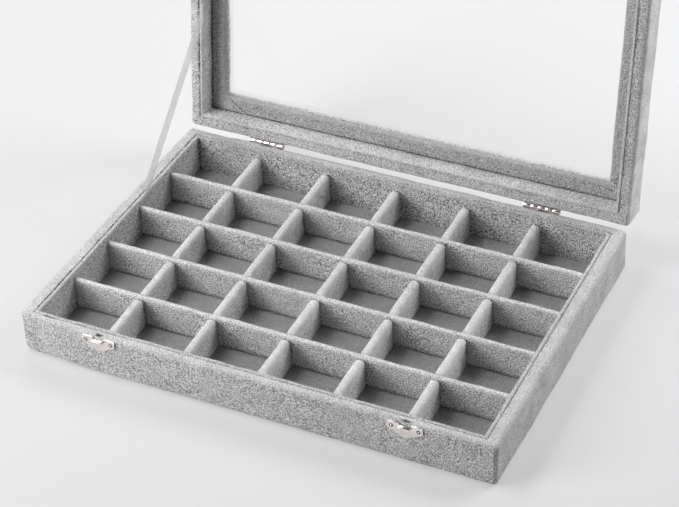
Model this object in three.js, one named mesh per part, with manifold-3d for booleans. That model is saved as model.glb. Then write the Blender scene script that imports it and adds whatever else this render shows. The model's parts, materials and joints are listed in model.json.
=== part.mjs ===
// Velvet-covered jewellery organizer with a glass lid, standing open.
// Millimetres, +Z up, +X along the long side, the latch side faces -Y.
// The origin is the centre of the base's underside.
import * as THREE from 'three';
import { mergeVertices } from 'three/addons/utils/BufferGeometryUtils.js';
import Module from 'manifold-3d';

const wasm = await Module();
wasm.setup();

// Driving dimensions of the box
const boxWidth = 350;
const boxDepth = 250;
const baseHeight = 34;
const lidHeight = 27;
const lidOpenDegrees = 97;

// Boards of the base and of the lid, velvet included
const baseSideWallThickness = 9;
const baseFrontWallThickness = 5.5;
const baseBackWallThickness = 7.5;
const baseLinerThickness = 2.7;
const lidWallThickness = 8;
const lidLinerThickness = 2.2;
const floorBoardThickness = 3;
const floorPadThickness = 2;
const boardCornerRadius = 4;
const leastCornerRadius = 0.5;
const rimRound = 2.6;
const seamRound = 1.1;
const footRound = 4;
const lidTopRound = 3.6;
const linerRound = 0.9;

// Clearances between covered boards
const seamGap = 0.3;
const seatGap = 0.2;
const mitreGap = 0.3;

// Dividers, half-lapped into each other
const rowCount = 5;
const columnCount = 6;
const middleRowPitch = 46.7;
const rowDividerDrop = 4.2;
const columnDividerDrop = 5;
const rowDividerThickness = 4;
const columnDividerTopThickness = 3.8;
const columnDividerFootThickness = 5.4;
const dividerTabRound = 2.6;
const lapClearance = 0.3;
const lapHeightShare = 0.5;

// Lid: window rails, glass and top rails
const recessDepth = 15.5;
const windowRailThickness = 4.4;
const windowBorder = 10;
const windowCornerRadius = 5;
const windowEdgeRound = 1.8;
const glassThickness = 2;
const glassLap = 6;
const topRailSetback = 1.2;

// Hinges
const hingeEndInset = 65;
const hingeLength = 28;
const hingeLeafHeight = 12;
const hingeSheet = 0.9;
const barrelRadius = 1.6;
const hingeAxisOut = 0.9;
const rimGap = 0.6;
const hingePinRadius = 0.7;
const pinBoreRadius = 0.95;
const knuckleCount = 5;
const knuckleGap = 0.3;
const pinHeadRound = 0.3;

// Latches
const latchEndInset = 62.8;
const latchPlateLength = 25;
const latchPlateEndHeight = 6.4;
const latchPlateHeight = 11.2;
const latchSheet = 0.8;
const latchPlateCorner = 1.2;
const keeperRimInset = 1.4;
const keeperSeat = 0.1;
const keeperNotchSide = 0.4;
const keeperNotchDepth = 2.6;
const hookWidth = 7.6;
const hookRadius = 1.7;
const hookRootDegrees = 15;
const hookRollDegrees = 285;
const hookClear = 0.5;
const hookPassGap = 0.4;
const latchAxisRise = 5.4;
const latchBarrelRadius = 2;
const latchPinRadius = 0.6;
const latchBoreRadius = 0.95;
const latchKnuckleLength = 3;
const haspKnuckleLength = 8;
const haspWidth = 13;
const haspBelowWindow = 4.7;
const haspEndRound = 4;
const haspLipRadius = 1.4;
const haspLipDegrees = 70;
const haspRoot = 0.4;

// Ribbon stay on the left side
const ribbonWidth = 10;
const ribbonThickness = 0.5;
const ribbonFootWidth = 6.2;
const ribbonTaper = 12;
const ribbonBaseSetback = 93.9;
const ribbonLidReach = 107;
const ribbonInset = 0.8;
const ribbonHeadClear = 0.8;

// Fineness of the rounded forms
const cornerSteps = 5;
const edgeSteps = 4;
const tabSteps = 5;
const barrelSides = 20;
const pinSides = 12;
const curlSteps = 12;
const boatSteps = 14;
const cutterReach = 20;

// Places that follow from the sizes above
const halfWidth = boxWidth / 2;
const halfDepth = boxDepth / 2;
const hingeAxisY = halfDepth + hingeAxisOut;
const hingeAxisZ = baseHeight + rimGap;
const lidInset = lidWallThickness + seamGap + lidLinerThickness;
const floorPadBottom = floorBoardThickness + seatGap;
const dividerBottom = floorPadBottom + floorPadThickness + seatGap;
const rowDividerTop = baseHeight - rowDividerDrop;
const columnDividerTop = baseHeight - columnDividerDrop;
const lapHeight = THREE.MathUtils.lerp(dividerBottom, rowDividerTop, lapHeightShare);
const glassBottom = recessDepth + windowRailThickness + seatGap;
const topRailBottom = glassBottom + glassThickness + seatGap;
const hingePlaces = { left: hingeEndInset - halfWidth, right: halfWidth - hingeEndInset };
const latchPlaces = { left: latchEndInset - halfWidth, right: halfWidth - latchEndInset };
const keeperTop = baseHeight - keeperRimInset;
const hookZ = keeperTop - keeperNotchDepth;
const latchAxisOut = keeperSeat + 2 * hookRadius + hookPassGap + latchSheet - latchBarrelRadius;
const haspWindowWidth = hookWidth + 2 * hookClear;
const haspWindowHeight = 2 * (hookRadius + hookClear);
const haspWindowMiddle = hookZ - hingeAxisZ - latchAxisRise;
const haspDrop = haspWindowHeight / 2 + haspBelowWindow - haspWindowMiddle;

// Rectangles in plan: half sizes, and how far the middle lies behind the box's own
const baseWallThickness = {
  front: baseFrontWallThickness,
  right: baseSideWallThickness,
  back: baseBackWallThickness,
  left: baseSideWallThickness,
};
const boxPlan = { halfX: halfWidth, halfY: halfDepth, middleY: 0 };
const wallsPlan = {
  halfX: halfWidth - baseSideWallThickness,
  halfY: halfDepth - (baseFrontWallThickness + baseBackWallThickness) / 2,
  middleY: (baseFrontWallThickness - baseBackWallThickness) / 2,
};
const linerPlan = insetPlan(wallsPlan, seamGap);
const clearPlan = insetPlan(linerPlan, baseLinerThickness);

// Materials, one for each kind of surface
const velvet = new THREE.MeshStandardMaterial({ color: 0xb3b5b8, roughness: 0.95, metalness: 0 });
const velvetInside = new THREE.MeshStandardMaterial({ color: 0xa9abae, roughness: 0.95, metalness: 0 });
const nickel = new THREE.MeshStandardMaterial({ color: 0xcfccc8, roughness: 0.25, metalness: 1 });
const glass = new THREE.MeshStandardMaterial({
  color: 0xe4eef0, roughness: 0.05, metalness: 0, transparent: true, opacity: 0.25,
});
const satin = new THREE.MeshStandardMaterial({ color: 0xe2e3e5, roughness: 0.5, metalness: 0 });

// Solid from a closed three.js geometry
function solidOf(geometry) {
  const bare = geometry.clone();
  bare.deleteAttribute('normal');
  bare.deleteAttribute('uv');
  const merged = mergeVertices(bare);
  return new wasm.Manifold(new wasm.Mesh({
    numProp: 3,
    vertProperties: merged.getAttribute('position').array,
    triVerts: new Uint32Array(merged.getIndex().array),
  }));
}

// Geometry from a solid
function geometryOf(solid) {
  const mesh = solid.getMesh();
  const geometry = new THREE.BufferGeometry();
  geometry.setAttribute('position', new THREE.BufferAttribute(mesh.vertProperties, mesh.numProp));
  geometry.setIndex(new THREE.BufferAttribute(mesh.triVerts, 1));
  geometry.computeVertexNormals();
  return geometry;
}

// Named mesh from a solid
function piece(name, solid, material) {
  const mesh = new THREE.Mesh(geometryOf(solid), material);
  mesh.name = name;
  return mesh;
}

// Rectangle whose four corners have their own radii, from the lower left one counter-clockwise
function roundedOutline(x0, y0, x1, y1, radii) {
  const [lowerLeft, lowerRight, upperRight, upperLeft] = radii;
  const quarter = Math.PI / 2;
  const corners = [
    [x0 + lowerLeft, y0 + lowerLeft, lowerLeft, 2 * quarter],
    [x1 - lowerRight, y0 + lowerRight, lowerRight, 3 * quarter],
    [x1 - upperRight, y1 - upperRight, upperRight, 0],
    [x0 + upperLeft, y1 - upperLeft, upperLeft, quarter],
  ];
  const outline = [];
  for (const [x, y, radius, start] of corners) {
    const steps = radius > 0 ? edgeSteps : 0;
    for (let step = 0; step <= steps; step += 1) {
      const angle = start + (steps > 0 ? quarter * step / steps : 0);
      outline.push(new THREE.Vector2(x + radius * Math.cos(angle), y + radius * Math.sin(angle)));
    }
  }
  return outline;
}

// Outline extruded along one axis; its own axes are (Y, Z), (X, Z) or (X, Y)
function prism(axis, outline, from, to) {
  const geometry = new THREE.ExtrudeGeometry(new THREE.Shape(outline), {
    depth: to - from, bevelEnabled: false, steps: 1,
  });
  const unitX = new THREE.Vector3(1, 0, 0);
  const unitY = new THREE.Vector3(0, 1, 0);
  const unitZ = new THREE.Vector3(0, 0, 1);
  const turn = new THREE.Matrix4();
  if (axis === 'x') {
    turn.makeBasis(unitY, unitZ, unitX);
    geometry.applyMatrix4(turn).translate(from, 0, 0);
  } else if (axis === 'y') {
    turn.makeBasis(unitX, unitZ, unitY.clone().negate());
    geometry.applyMatrix4(turn).translate(0, to, 0);
  } else {
    geometry.translate(0, 0, from);
  }
  return solidOf(geometry);
}

// Plain block between two corners
function block(low, high) {
  const size = new THREE.Vector3().subVectors(high, low);
  const middle = new THREE.Vector3().addVectors(low, high).divideScalar(2);
  const geometry = new THREE.BoxGeometry(size.x, size.y, size.z);
  return solidOf(geometry.translate(middle.x, middle.y, middle.z));
}

// Cylinder along X between two places
function rod(radius, sides, from, to, y, z) {
  const geometry = new THREE.CylinderGeometry(radius, radius, to - from, sides);
  geometry.rotateZ(Math.PI / 2).translate((from + to) / 2, y, z);
  return solidOf(geometry);
}

// Rectangle in plan, drawn in evenly on all sides
function insetPlan(plan, inset) {
  return { halfX: plan.halfX - inset, halfY: plan.halfY - inset, middleY: plan.middleY };
}

// Flat board that fills a rectangle in plan
function board(plan, from, to) {
  return block(
    new THREE.Vector3(-plan.halfX, plan.middleY - plan.halfY, from),
    new THREE.Vector3(plan.halfX, plan.middleY + plan.halfY, to),
  );
}

// Closed frame swept round a rectangle in plan: the section holds (inset, height) pairs and the
// corner radius runs from the outer edge of the section to its inner edge
function sweptFrame(section, plan, outerRadius, innerRadius) {
  const insets = section.map((point) => point.x);
  const outerInset = Math.min(...insets);
  const insetSpan = Math.max(...insets) - outerInset;
  const positions = [];
  for (const point of section) {
    const inwardShare = (point.x - outerInset) / insetSpan;
    const radius = THREE.MathUtils.lerp(outerRadius, innerRadius, inwardShare);
    const centreX = plan.halfX - point.x - radius;
    const centreY = plan.halfY - point.x - radius;
    for (let corner = 0; corner < 4; corner += 1) {
      const signX = corner === 0 || corner === 3 ? 1 : -1;
      const signY = corner < 2 ? 1 : -1;
      for (let step = 0; step <= cornerSteps; step += 1) {
        const angle = (corner + step / cornerSteps) * Math.PI / 2;
        positions.push(signX * centreX + radius * Math.cos(angle));
        positions.push(plan.middleY + signY * centreY + radius * Math.sin(angle));
        positions.push(point.y);
      }
    }
  }
  const around = 4 * (cornerSteps + 1);
  const triangles = [];
  for (let row = 0; row < section.length; row += 1) {
    const nextRow = (row + 1) % section.length;
    for (let column = 0; column < around; column += 1) {
      const nextColumn = (column + 1) % around;
      const a = row * around + column;
      const b = row * around + nextColumn;
      const c = nextRow * around + nextColumn;
      const d = nextRow * around + column;
      triangles.push(a, c, b, a, d, c);
    }
  }
  const geometry = new THREE.BufferGeometry();
  geometry.setAttribute('position', new THREE.Float32BufferAttribute(positions, 3));
  geometry.setIndex(triangles);
  return solidOf(geometry);
}

// The four sides of a frame, with the turn that brings the front there and the sides that it meets
const sides = [
  { side: 'front', turn: 0, across: false, leftSide: 'left', rightSide: 'right' },
  { side: 'right', turn: 90, across: true, leftSide: 'front', rightSide: 'back' },
  { side: 'back', turn: 180, across: false, leftSide: 'right', rightSide: 'left' },
  { side: 'left', turn: 270, across: true, leftSide: 'back', rightSide: 'front' },
];

function turnedTo(place, plan, solid) {
  return solid.rotate([0, 0, place.turn]).translate([0, plan.middleY, 0]);
}

// Half length of a side and its distance from the middle
function reachOf(plan, place) {
  return place.across
    ? { halfSpan: plan.halfY, distance: plan.halfX }
    : { halfSpan: plan.halfX, distance: plan.halfY };
}

// Space that one side takes between its mitres. A mitre runs from the frame's outer corner to its
// inner corner, so it leans where two sides differ in thickness.
function mitredRegion(plan, place, thickness) {
  const { halfSpan, distance } = reachOf(plan, place);
  const own = thickness[place.side];
  const endAt = (neighbour, inward) => {
    const slope = thickness[neighbour] / own;
    return halfSpan - inward * slope - mitreGap / 2 * Math.hypot(1, slope);
  };
  const inside = own + cutterReach;
  const region = [
    new THREE.Vector2(-endAt(place.leftSide, -cutterReach), -distance - cutterReach),
    new THREE.Vector2(endAt(place.rightSide, -cutterReach), -distance - cutterReach),
    new THREE.Vector2(endAt(place.rightSide, inside), inside - distance),
    new THREE.Vector2(-endAt(place.leftSide, inside), inside - distance),
  ];
  return turnedTo(place, plan, prism('z', region, -cutterReach, baseHeight + cutterReach));
}

function evenly(thickness) {
  return { front: thickness, right: thickness, back: thickness, left: thickness };
}

// Frame as four pieces, each cut from the solid that solidFor gives for its side
function addMitredFrame(group, nameOf, plan, thickness, solidFor) {
  for (const place of sides) {
    const solid = solidFor(place).intersect(mitredRegion(plan, place, thickness));
    group.add(piece(nameOf(place.side), solid, velvet));
  }
}

// Rim with shallow recesses in which the barrels of the hinges turn
function withoutBarrels(frame, axisZ) {
  let solid = frame;
  const reach = hingeLength / 2 + knuckleGap;
  for (const x of Object.values(hingePlaces)) {
    const recess = rod(barrelRadius + knuckleGap, barrelSides, x - reach, x + reach, hingeAxisY, axisZ);
    solid = solid.subtract(recess);
  }
  return solid;
}

// Outer walls of the base: a shell with a soft rim and a rounder foot, from which each side keeps
// the thickness of its own wall
function addBaseWalls(group) {
  const shellDepth = Math.max(...Object.values(baseWallThickness)) + cutterReach;
  const shellSection = roundedOutline(0, 0, shellDepth, baseHeight, [footRound, 0, 0, rimRound]);
  const shell = withoutBarrels(
    sweptFrame(shellSection, boxPlan, boardCornerRadius, leastCornerRadius),
    hingeAxisZ,
  );
  addMitredFrame(group, (side) => `base_${side}_wall`, boxPlan, baseWallThickness, (place) => {
    const { halfSpan, distance } = reachOf(boxPlan, place);
    const section = roundedOutline(
      -distance - cutterReach, 0, baseWallThickness[place.side] - distance, baseHeight,
      [0, seamRound, seamRound, 0],
    );
    return shell.intersect(turnedTo(place, boxPlan, prism('x', section, -halfSpan, halfSpan)));
  });
}

// Thin boards inside the walls, parted from them by the seam
function addBaseLiners(group) {
  const section = roundedOutline(
    0, floorPadBottom, baseLinerThickness, baseHeight,
    [0, 0, linerRound, linerRound],
  );
  const frame = sweptFrame(section, linerPlan, leastCornerRadius, leastCornerRadius);
  const thickness = evenly(baseLinerThickness);
  addMitredFrame(group, (side) => `base_liner_${side}`, linerPlan, thickness, () => frame);
}

function addFloor(group) {
  const floor = board(insetPlan(wallsPlan, seatGap), 0, floorBoardThickness);
  group.add(piece('base_floor_board', floor, velvet));
  const pad = board(insetPlan(clearPlan, seamGap), floorPadBottom, floorPadBottom + floorPadThickness);
  group.add(piece('insert_floor_pad', pad, velvetInside));
}

// Where the dividers stand, counted from the front and from the left
function rowPlaces() {
  const places = [];
  for (let row = 1; row < rowCount; row += 1) {
    places.push((row - rowCount / 2) * middleRowPitch);
  }
  return places;
}

function columnPlaces() {
  const clearWidth = 2 * clearPlan.halfX;
  const cellWidth = (clearWidth - (columnCount - 1) * columnDividerTopThickness) / columnCount;
  const pitch = cellWidth + columnDividerTopThickness;
  const places = [];
  for (let column = 1; column < columnCount; column += 1) {
    places.push((column - columnCount / 2) * pitch);
  }
  return places;
}

// Long divider: an unbroken rounded top, and slots that rise from its foot to the half lap
function rowDivider(y) {
  const end = clearPlan.halfX - lapClearance;
  const round = rowDividerThickness / 2;
  const section = roundedOutline(y - round, dividerBottom, y + round, rowDividerTop, [0, 0, round, round]);
  let solid = prism('x', section, -end, end);
  const slotHalf = columnDividerFootThickness / 2 + lapClearance;
  for (const x of columnPlaces()) {
    solid = solid.subtract(block(
      new THREE.Vector3(x - slotHalf, y - cutterReach, dividerBottom - cutterReach),
      new THREE.Vector3(x + slotHalf, y + cutterReach, lapHeight + lapClearance / 2),
    ));
  }
  return solid;
}

// Side view of a cross divider: a comb whose tabs have round shoulders, because the velvet is
// folded over each one, with slots that fall from the top to the half lap
function combOutline() {
  const reach = clearPlan.halfY - lapClearance;
  const frontEnd = clearPlan.middleY - reach;
  const backEnd = clearPlan.middleY + reach;
  const slotHalf = rowDividerThickness / 2 + lapClearance;
  const slotBottom = lapHeight - lapClearance / 2;
  const edges = [frontEnd];
  for (const y of rowPlaces()) {
    edges.push(y - slotHalf, y + slotHalf);
  }
  edges.push(backEnd);
  const outline = [new THREE.Vector2(backEnd, dividerBottom)];
  for (let tab = edges.length - 2; tab >= 0; tab -= 2) {
    const [left, right] = [edges[tab], edges[tab + 1]];
    const shoulder = columnDividerTop - dividerTabRound;
    for (let step = 0; step <= tabSteps; step += 1) {
      const angle = Math.PI / 2 * step / tabSteps;
      const y = right - dividerTabRound + dividerTabRound * Math.cos(angle);
      outline.push(new THREE.Vector2(y, shoulder + dividerTabRound * Math.sin(angle)));
    }
    for (let step = 0; step <= tabSteps; step += 1) {
      const angle = Math.PI / 2 * (1 + step / tabSteps);
      const y = left + dividerTabRound + dividerTabRound * Math.cos(angle);
      outline.push(new THREE.Vector2(y, shoulder + dividerTabRound * Math.sin(angle)));
    }
    if (tab > 0) {
      outline.push(new THREE.Vector2(left, slotBottom), new THREE.Vector2(edges[tab - 1], slotBottom));
    }
  }
  outline.push(new THREE.Vector2(frontEnd, dividerBottom));
  return outline;
}

// Cross divider: a wedge with a rounded top, cut to the comb
function columnDivider(x) {
  const topHalf = columnDividerTopThickness / 2;
  const footHalf = columnDividerFootThickness / 2;
  const crown = columnDividerTop - topHalf;
  const section = [
    new THREE.Vector2(x - footHalf, dividerBottom),
    new THREE.Vector2(x + footHalf, dividerBottom),
  ];
  for (let step = 0; step <= 2 * edgeSteps; step += 1) {
    const angle = Math.PI / 2 * step / edgeSteps;
    section.push(new THREE.Vector2(x + topHalf * Math.cos(angle), crown + topHalf * Math.sin(angle)));
  }
  const wedge = prism('y', section, -halfDepth, halfDepth);
  const comb = prism('x', combOutline(), x - columnDividerFootThickness, x + columnDividerFootThickness);
  return wedge.intersect(comb);
}

function addDividers(group) {
  rowPlaces().forEach((y, index) => {
    group.add(piece(`row_divider_${index + 1}`, rowDivider(y), velvetInside));
  });
  columnPlaces().forEach((x, index) => {
    group.add(piece(`column_divider_${index + 1}`, columnDivider(x), velvetInside));
  });
}

// Boat-shaped plate of a latch, in (X, Z): straight on one edge, bulging in the middle of the other
function boatOutline(straightZ, bulgeSign) {
  const end = latchPlateLength / 2;
  const points = [];
  const bulge = latchPlateHeight - latchPlateEndHeight;
  for (let step = 0; step <= boatSteps; step += 1) {
    const alongShare = step / boatSteps;
    const x = end - latchPlateLength * alongShare;
    const swell = Math.sin(Math.PI * alongShare) ** 2;
    const corner = step === 0 || step === boatSteps ? latchPlateCorner : 0;
    const drop = latchPlateEndHeight - corner + bulge * swell;
    points.push(new THREE.Vector2(x, straightZ + bulgeSign * drop));
  }
  points.push(new THREE.Vector2(-end, straightZ + bulgeSign * latchPlateCorner));
  points.push(new THREE.Vector2(latchPlateCorner - end, straightZ));
  points.push(new THREE.Vector2(end - latchPlateCorner, straightZ));
  points.push(new THREE.Vector2(end, straightZ + bulgeSign * latchPlateCorner));
  return bulgeSign > 0 ? points : points.reverse();
}

// Strip of sheet rolled round an axis along X, from one angle to another, in (Y, Z)
function curlOutline(y, z, outerRadius, sheet, fromDegrees, toDegrees) {
  const outer = [];
  const inner = [];
  for (let step = 0; step <= curlSteps; step += 1) {
    const angle = THREE.MathUtils.degToRad(THREE.MathUtils.lerp(fromDegrees, toDegrees, step / curlSteps));
    outer.push(new THREE.Vector2(y + outerRadius * Math.cos(angle), z + outerRadius * Math.sin(angle)));
    const radius = outerRadius - sheet;
    inner.push(new THREE.Vector2(y + radius * Math.cos(angle), z + radius * Math.sin(angle)));
  }
  return outer.concat(inner.reverse());
}

// Keeper on the base's front: a plate with a notch in its top edge, and a strip between the sides
// of the notch that is rolled forward and down into a hook
function latchKeeper(x) {
  const back = -halfDepth - keeperSeat;
  const front = back - latchSheet;
  const outline = boatOutline(keeperTop, -1);
  for (const point of outline) {
    point.x += x;
  }
  let solid = prism('y', outline, front, back);
  const notchHalf = hookWidth / 2 + keeperNotchSide;
  solid = solid.subtract(block(
    new THREE.Vector3(x - notchHalf, front - cutterReach, hookZ),
    new THREE.Vector3(x + notchHalf, back + cutterReach, keeperTop + cutterReach),
  ));
  const rollY = back - hookRadius;
  const roll = curlOutline(rollY, hookZ, hookRadius, latchSheet, -hookRootDegrees, hookRollDegrees);
  return solid.add(prism('x', roll, x - hookWidth / 2, x + hookWidth / 2));
}

// One leaf of a butt hinge round the axis y = z = 0: the sheet hangs below the axis on the side
// of -Y, and takes every second knuckle
function hingeLeaf(firstKnuckle) {
  const start = -hingeLength / 2;
  const pitch = hingeLength / knuckleCount;
  const sheetOut = hingeSheet - hingeAxisOut + keeperSeat;
  const sheetBack = keeperSeat - hingeAxisOut;
  const clear = barrelRadius + knuckleGap;
  let solid = block(
    new THREE.Vector3(start, sheetBack, -hingeLeafHeight),
    new THREE.Vector3(-start, sheetOut, -clear),
  );
  for (let knuckle = firstKnuckle; knuckle < knuckleCount; knuckle += 2) {
    const from = start + knuckle * pitch + (knuckle > 0 ? knuckleGap / 2 : 0);
    const to = start + (knuckle + 1) * pitch - (knuckle < knuckleCount - 1 ? knuckleGap / 2 : 0);
    const tab = block(
      new THREE.Vector3(from, sheetBack, -clear - hingeSheet),
      new THREE.Vector3(to, sheetOut, 0),
    );
    solid = solid.add(tab).add(rod(barrelRadius, barrelSides, from, to, 0, 0));
  }
  return solid.subtract(rod(pinBoreRadius, barrelSides, start - cutterReach, cutterReach - start, 0, 0));
}

// Pin with softened ends, turned about X
function pinAlongX(radius, length, round) {
  const profile = [
    new THREE.Vector2(0, -length / 2),
    new THREE.Vector2(radius - round, -length / 2),
    new THREE.Vector2(radius, round - length / 2),
    new THREE.Vector2(radius, length / 2 - round),
    new THREE.Vector2(radius - round, length / 2),
    new THREE.Vector2(0, length / 2),
  ];
  const geometry = new THREE.LatheGeometry(profile, pinSides);
  return solidOf(geometry.rotateZ(-Math.PI / 2));
}

function addHinge(base, lid, name) {
  const x = hingePlaces[name];
  const baseLeaf = piece(`hinge_${name}_base_leaf`, hingeLeaf(0), nickel);
  baseLeaf.position.set(x, hingeAxisY, hingeAxisZ);
  const pin = piece(`hinge_${name}_pin`, pinAlongX(hingePinRadius, hingeLength, pinHeadRound), nickel);
  pin.position.copy(baseLeaf.position);
  base.add(baseLeaf, pin);
  const lidLeaf = piece(`hinge_${name}_lid_leaf`, hingeLeaf(1).mirror([0, 0, 1]), nickel);
  lidLeaf.position.set(x, hingeAxisY, 0);
  lid.add(lidLeaf);
}

// Lid walls: as the base's, upside down, up to the top rails
function addLidWalls(group) {
  const wallTop = topRailBottom - seatGap;
  const section = roundedOutline(0, 0, lidWallThickness, wallTop, [rimRound, seamRound, 0, 0]);
  const frame = withoutBarrels(sweptFrame(section, boxPlan, boardCornerRadius, leastCornerRadius), 0);
  addMitredFrame(group, (side) => `lid_${side}_wall`, boxPlan, evenly(lidWallThickness), () => frame);
}

function addLidLiners(group) {
  const outer = lidWallThickness + seamGap;
  const top = recessDepth - seatGap;
  const section = roundedOutline(outer, 0, lidInset, top, [linerRound, linerRound, 0, 0]);
  const frame = sweptFrame(section, boxPlan, leastCornerRadius, leastCornerRadius);
  addMitredFrame(group, (side) => `lid_liner_${side}`, boxPlan, evenly(lidInset), () => frame);
}

// Inner rails round the window, on which the glass lies
function addWindowRails(group) {
  const outer = lidWallThickness + seamGap;
  const inner = lidInset + windowBorder;
  const top = recessDepth + windowRailThickness;
  const section = roundedOutline(outer, recessDepth, inner, top, [0, windowEdgeRound, 0, 0]);
  const frame = sweptFrame(section, boxPlan, leastCornerRadius, windowCornerRadius);
  addMitredFrame(group, (side) => `lid_window_rail_${side}`, boxPlan, evenly(inner), () => frame);
}

// Outer rails that close the lid over the walls and the glass
function addTopRails(group) {
  const inner = lidInset + windowBorder - topRailSetback;
  const section = roundedOutline(0, topRailBottom, inner, lidHeight, [0, 0, windowEdgeRound, lidTopRound]);
  const frame = sweptFrame(section, boxPlan, boardCornerRadius, windowCornerRadius);
  addMitredFrame(group, (side) => `lid_top_rail_${side}`, boxPlan, evenly(inner), () => frame);
}

function addGlass(group) {
  const edge = lidInset + windowBorder - glassLap;
  const x = halfWidth - edge;
  const y = halfDepth - edge;
  const outline = roundedOutline(-x, -y, x, y, [seamRound, seamRound, seamRound, seamRound]);
  group.add(piece('glass_pane', prism('z', outline, glassBottom, glassBottom + glassThickness), glass));
}

// Plate on the lid's front, whose lower edge is turned out and rolled into the two outer knuckles
// of the hasp's hinge. The latch frame has its origin on the hasp's axis, with -Y away from the lid.
function latchPlate() {
  const back = latchAxisOut - seamGap;
  const front = back - latchSheet;
  const plate = prism('y', boatOutline(-latchBarrelRadius, 1), front, back);
  const inner = haspKnuckleLength / 2 + knuckleGap;
  const outer = inner + latchKnuckleLength;
  const gapBlock = block(
    new THREE.Vector3(-inner, -cutterReach, -cutterReach),
    new THREE.Vector3(inner, cutterReach, latchBarrelRadius + knuckleGap),
  );
  let solid = plate.subtract(gapBlock);
  for (const [from, to] of [[-outer, -inner], [inner, outer]]) {
    const tab = block(
      new THREE.Vector3(from, 0, -latchBarrelRadius),
      new THREE.Vector3(to, back, latchSheet - latchBarrelRadius),
    );
    solid = solid.add(tab).add(rod(latchBarrelRadius, barrelSides, from, to, 0, 0));
  }
  return solid.subtract(rod(latchBoreRadius, barrelSides, -outer - cutterReach, outer + cutterReach, 0, 0));
}

// Swinging hasp: a knuckle, a tongue with a window for the hook, and a lip for the fingertip
function hasp() {
  const front = -latchBarrelRadius;
  const back = front + latchSheet;
  const half = haspWidth / 2;
  const knuckleHalf = haspKnuckleLength / 2;
  const tongueTop = -latchBarrelRadius - haspRoot;
  const tongue = prism('y', roundedOutline(-half, -haspDrop, half, tongueTop,
    [haspEndRound, haspEndRound, latchPlateCorner, latchPlateCorner]), front, back);
  const neck = block(
    new THREE.Vector3(-knuckleHalf, front, tongueTop - haspRoot - latchPlateCorner),
    new THREE.Vector3(knuckleHalf, back, 0),
  );
  let solid = rod(latchBarrelRadius, barrelSides, -knuckleHalf, knuckleHalf, 0, 0).add(neck).add(tongue);
  solid = solid.subtract(rod(latchBoreRadius, barrelSides, -cutterReach, cutterReach, 0, 0));
  solid = solid.subtract(block(
    new THREE.Vector3(-haspWindowWidth / 2, -cutterReach, haspWindowMiddle - haspWindowHeight / 2),
    new THREE.Vector3(haspWindowWidth / 2, cutterReach, haspWindowMiddle + haspWindowHeight / 2),
  ));
  const lipCurl = curlOutline(front - haspLipRadius + latchSheet, -haspDrop + haspLipRadius / 2,
    haspLipRadius, latchSheet, -haspLipDegrees, 0);
  return solid.add(prism('x', lipCurl, haspEndRound - half, half - haspEndRound));
}

function addLatch(base, lid, name) {
  const x = latchPlaces[name];
  base.add(piece(`latch_${name}_keeper`, latchKeeper(x), nickel));
  const latch = new THREE.Group();
  latch.position.set(x, -halfDepth - latchAxisOut, latchAxisRise);
  const knuckles = haspKnuckleLength + 2 * (latchKnuckleLength + knuckleGap);
  latch.add(piece(`latch_${name}_plate`, latchPlate(), nickel));
  latch.add(piece(`latch_${name}_pin`, pinAlongX(latchPinRadius, knuckles, pinHeadRound / 2), nickel));
  latch.add(piece(`latch_${name}_hasp`, hasp(), nickel));
  lid.add(latch);
}

// Ribbon from the seam of the base's left rim to the corner inside the lid's left side
function ribbonStay() {
  const open = THREE.MathUtils.degToRad(lidOpenDegrees - 90);
  const along = new THREE.Vector2(Math.sin(open), Math.cos(open));
  const inward = new THREE.Vector2(Math.cos(open), -Math.sin(open));
  const seamX = baseWallThickness.left + seamGap / 2 - halfWidth;
  const linerX = lidInset + ribbonInset - halfWidth;
  const foot = new THREE.Vector3(seamX, hingeAxisY - ribbonBaseSetback, baseHeight);
  const depthInLid = recessDepth - ribbonWidth * Math.SQRT1_2 / 2 - ribbonHeadClear;
  const head = new THREE.Vector3(
    linerX,
    hingeAxisY + ribbonLidReach * along.x + depthInLid * inward.x,
    hingeAxisZ + ribbonLidReach * along.y + depthInLid * inward.y,
  );
  const run = new THREE.Vector3().subVectors(head, foot);
  const length = run.length();
  const footHalf = ribbonFootWidth / 2;
  const half = ribbonWidth / 2;
  const footSlant = footHalf * run.y / run.z;
  const outline = [
    new THREE.Vector2(-footSlant, -footHalf),
    new THREE.Vector2(ribbonTaper, -half),
    new THREE.Vector2(length, -half),
    new THREE.Vector2(length, half),
    new THREE.Vector2(ribbonTaper, half),
    new THREE.Vector2(footSlant, footHalf),
  ];
  const geometry = new THREE.ExtrudeGeometry(new THREE.Shape(outline), {
    depth: ribbonThickness, bevelEnabled: false, steps: 1,
  });
  const forward = run.clone().normalize();
  const face = new THREE.Vector3(-1, 0, 0);
  const sideways = new THREE.Vector3().crossVectors(face, forward).normalize();
  face.crossVectors(forward, sideways);
  const place = new THREE.Matrix4().makeBasis(forward, sideways, face).setPosition(foot);
  geometry.translate(0, 0, -ribbonThickness / 2).applyMatrix4(place);
  return piece('ribbon_stay', solidOf(geometry), satin);
}

// Base, with the lid's group turned back about the hinge axis
const box = new THREE.Group();
const base = new THREE.Group();
const lidTurn = new THREE.Group();
const lid = new THREE.Group();
lidTurn.position.set(0, hingeAxisY, hingeAxisZ);
lidTurn.rotation.x = -THREE.MathUtils.degToRad(lidOpenDegrees);
lid.position.set(0, -hingeAxisY, 0);
lidTurn.add(lid);
box.add(base, lidTurn);

addBaseWalls(base);
addFloor(base);
addBaseLiners(base);
addDividers(base);
addLidWalls(lid);
addLidLiners(lid);
addWindowRails(lid);
addGlass(lid);
addTopRails(lid);
addHinge(base, lid, 'left');
addHinge(base, lid, 'right');
addLatch(base, lid, 'left');
addLatch(base, lid, 'right');
box.add(ribbonStay());

export default box;
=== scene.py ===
import json
import math

import bmesh
import bpy
import numpy as np
from mathutils import Matrix, Vector


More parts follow.
